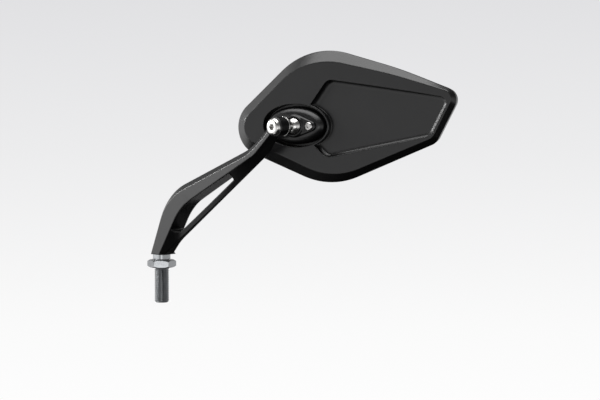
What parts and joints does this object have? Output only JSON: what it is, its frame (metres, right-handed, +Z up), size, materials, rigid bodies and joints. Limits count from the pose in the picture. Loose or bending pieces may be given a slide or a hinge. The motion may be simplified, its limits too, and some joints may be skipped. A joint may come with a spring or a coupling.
{
  "type": "motorcycle mirror",
  "caption": "Left-hand motorcycle rear-view mirror: bent slotted arm on a threaded stud, ball joint with clamping flange, and a kite-shaped metal head with convex glass.",
  "frame": {"origin": "centre of the lock nut's lower face, on the stud's axis", "axes": "+Z up the stud, +X outboard along the arm, +Y towards the glass side; the arm's broad front faces -Y"},
  "size_m": [0.2286, 0.0697, 0.1734],
  "materials": {
    "black_anodised_aluminium": "satin black anodised",
    "zinc_plated_steel": "bright zinc",
    "polished_stainless": "polished",
    "black_oxide_steel": "black oxide",
    "spring_steel": "oiled",
    "acetal": "moulded white",
    "brass": "turned",
    "adhesive_foam": "closed-cell foam",
    "silvered_glass": "convex, front polished"
  },
  "bodies": {
    "arm": {"arm": "black_anodised_aluminium", "mounting_stud": "zinc_plated_steel"},
    "nut": {"lock_nut": "zinc_plated_steel"},
    "ball_stud": {"ball_stud": "polished_stainless", "swivel_screw": "polished_stainless", "eye_washer": "polished_stainless"},
    "ball_liner": {"ball_liner": "acetal"},
    "head": {"mirror_housing": "black_anodised_aluminium", "joint_pod": "black_anodised_aluminium", "pod_screws": "black_oxide_steel", "retainer_flange": "black_anodised_aluminium", "retainer_screws": "polished_stainless", "pressure_pad": "brass", "seat_spring": "spring_steel", "glass_pad": "adhesive_foam", "mirror_glass": "silvered_glass"}
  },
  "joints": [
    {"name": "nut_spin", "type": "hinge", "parent": "arm", "child": "nut", "pos_m": [0, 0, 0], "axis": [0, 0, 1], "continuous": true},
    {"name": "eye_swivel", "type": "hinge", "parent": "arm", "child": "ball_stud", "pos_m": [0.115, 0, 0.1002], "axis": [0, 1, 0], "range_deg": [-5, 30]},
    {"name": "mirror_yaw", "type": "hinge", "parent": "ball_stud", "child": "ball_liner", "pos_m": [0.115, 0.0135, 0.1002], "axis": [0, 0, 1], "range_deg": [-44, 2]},
    {"name": "mirror_pitch", "type": "hinge", "parent": "ball_liner", "child": "head", "pos_m": [0.115, 0.0135, 0.1002], "axis": [0.9511, 0.309, 0], "range_deg": [-13, 13]}
  ]
}
